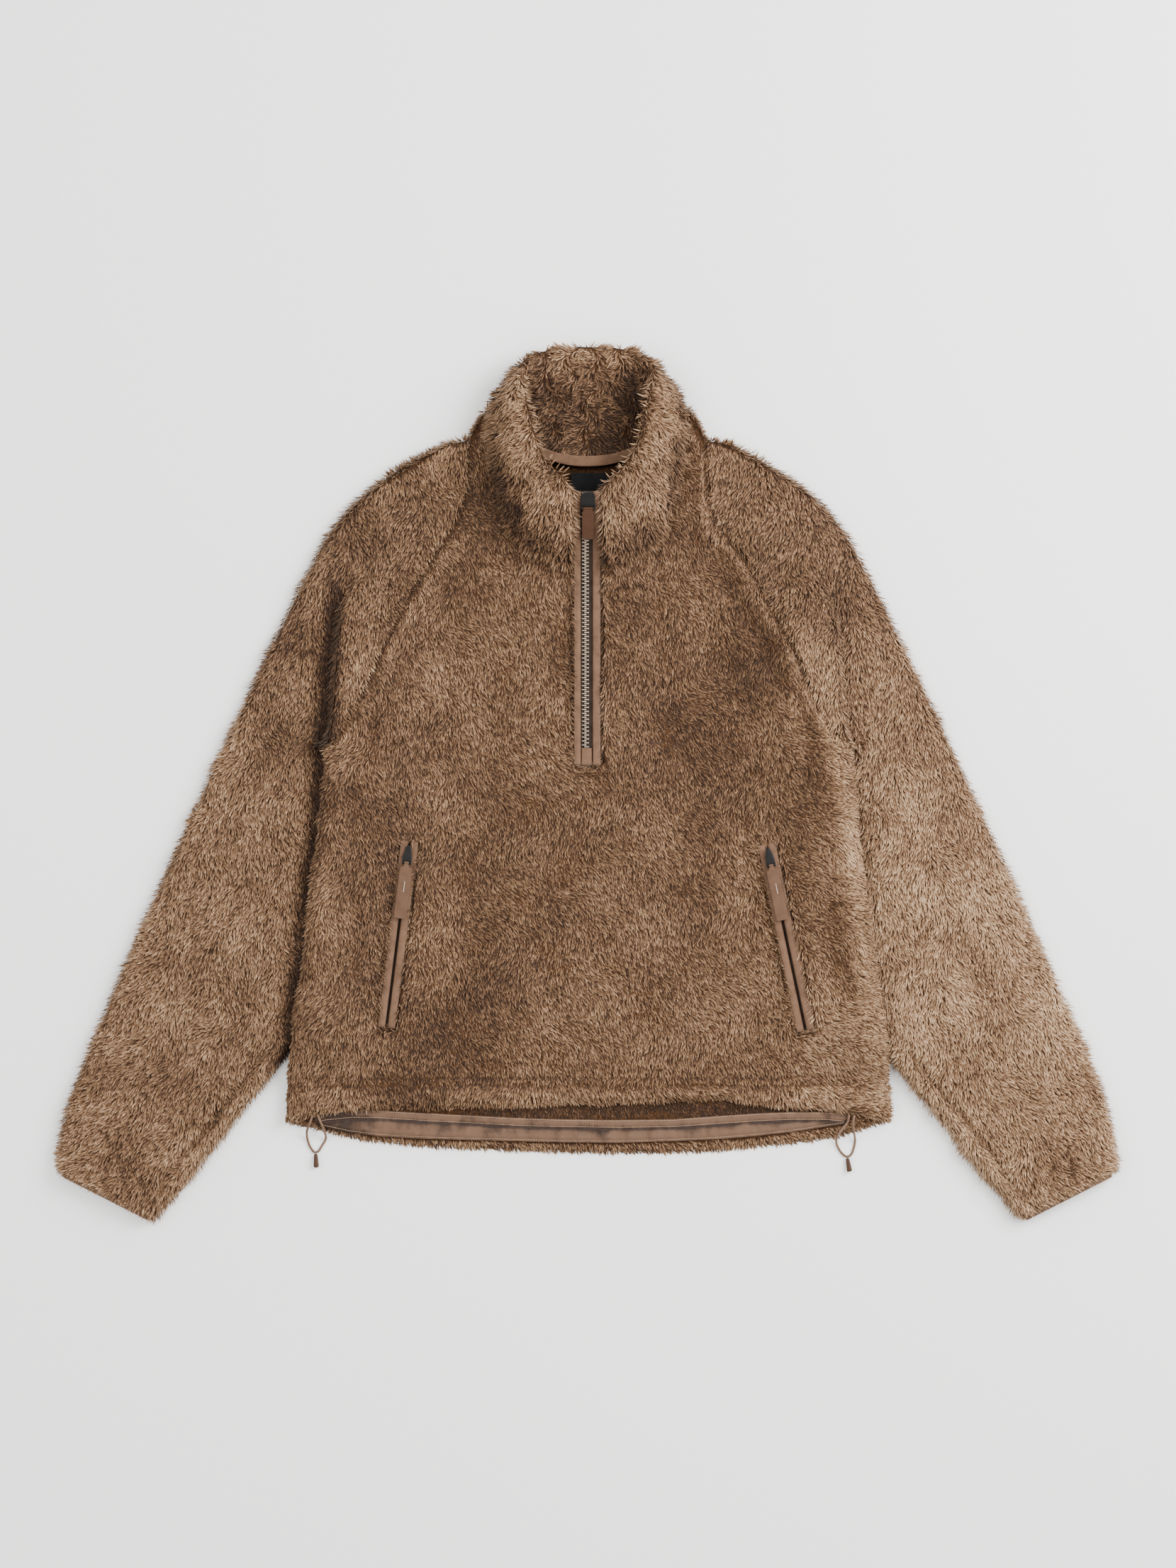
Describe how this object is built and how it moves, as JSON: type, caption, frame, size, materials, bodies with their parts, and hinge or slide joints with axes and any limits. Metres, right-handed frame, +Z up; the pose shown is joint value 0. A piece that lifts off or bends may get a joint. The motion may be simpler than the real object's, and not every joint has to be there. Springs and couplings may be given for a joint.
{
  "type": "fleece half-zip pullover",
  "caption": "Fleece half-zip pullover with raglan sleeves, stand collar, slanted welt pockets and drop-tail hem, laid flat.",
  "frame": {"origin": "centre of the footprint of the laid garment, on the surface that it rests on, without the drawcord loops", "axes": "+X across the chest towards the picture's right, +Y from the hem to the collar, +Z up from the surface"},
  "size_m": [0.9268, 0.7643, 0.049],
  "materials": {
    "fleece": "high-pile fleece, tan brown",
    "woven": "woven taupe tape and trim",
    "facing": "satin woven facing, taupe",
    "label": "plain black woven label",
    "teeth": "moulded zip teeth, grey beige",
    "black_metal": "black enamelled slider",
    "gloss_tab": "glossy brown moulded tab",
    "cord": "braided elastic cord",
    "pocket_tape": "dark coil zip tape"
  },
  "bodies": {
    "garment": {"front": "fleece", "back": "fleece", "sleeve_left": "fleece", "sleeve_right": "fleece", "collar_outer": "fleece", "collar_inner": "fleece", "cuff_binding_left": "woven", "cuff_binding_right": "woven", "neck_tape": "woven", "neck_label": "label", "zip_tape": "woven", "zip_teeth": "teeth", "placket_left": "woven", "placket_right": "woven", "zip_end_tab": "woven", "zip_slider": "black_metal", "hem_facing": "facing", "drawcord_left": "cord", "drawcord_right": "cord", "cord_end_left": "gloss_tab", "cord_end_right": "gloss_tab", "pocket_welt_left_outer": "woven", "pocket_welt_left_inner": "woven", "pocket_zip_left": "pocket_tape", "pocket_slider_left": "black_metal", "pocket_welt_right_outer": "woven", "pocket_welt_right_inner": "woven", "pocket_zip_right": "pocket_tape", "pocket_slider_right": "black_metal"},
    "neck_pull_body": {"zip_pull": "gloss_tab"},
    "pocket_pull_left_body": {"pocket_pull_left": "woven"},
    "pocket_pull_right_body": {"pocket_pull_right": "woven"}
  },
  "joints": [
    {"name": "neck_pull_hinge", "type": "hinge", "parent": "garment", "child": "neck_pull_body", "pos_m": [0.0006, 0.2396, 0.0402], "axis": [-1, 0, 0], "range_deg": [0, 150]},
    {"name": "pocket_pull_left_hinge", "type": "hinge", "parent": "garment", "child": "pocket_pull_left_body", "pos_m": [-0.15767, -0.06875, 0.02464], "axis": [-0.9922, 0.1247, 0], "range_deg": [0, 150]},
    {"name": "pocket_pull_right_hinge", "type": "hinge", "parent": "garment", "child": "pocket_pull_right_body", "pos_m": [0.16049, -0.071, 0.02531], "axis": [-0.9788, -0.2048, 0], "range_deg": [0, 150]}
  ]
}
